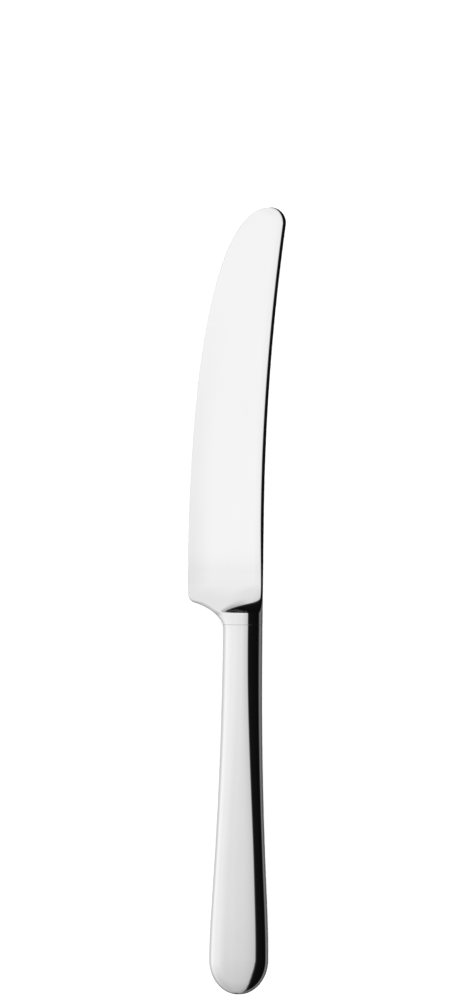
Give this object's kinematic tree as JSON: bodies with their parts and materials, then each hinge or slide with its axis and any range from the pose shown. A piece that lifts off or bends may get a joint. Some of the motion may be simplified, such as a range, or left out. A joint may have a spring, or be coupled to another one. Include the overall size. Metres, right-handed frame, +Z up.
{
  "type": "dessert knife",
  "caption": "Polished steel dessert knife: round-nosed blade with a swept-back back, forged bolster and a hollow handle that swells to a rounded end.",
  "frame": {"origin": "middle of the knife's footprint, at the height of the surface that it lies on", "axes": "+Y along the knife toward the point, +X toward the back of the blade, so the cutting edge faces -X, and +Z up out of the upper side"},
  "size_m": [0.025, 0.2098, 0.0088],
  "materials": {
    "blade_steel": "mirror polished blade steel with faint lengthwise polishing lines",
    "handle_steel": "mirror polished stainless steel",
    "cement": "cast cement, matt and slightly porous",
    "braze": "silver braze, flush and rubbed back"
  },
  "bodies": {
    "root": {"blade": "blade_steel", "handle_shell_front": "handle_steel", "handle_shell_back": "handle_steel", "handle_filler": "cement", "seam_braze": "braze", "neck_braze": "braze"}
  },
  "joints": []
}
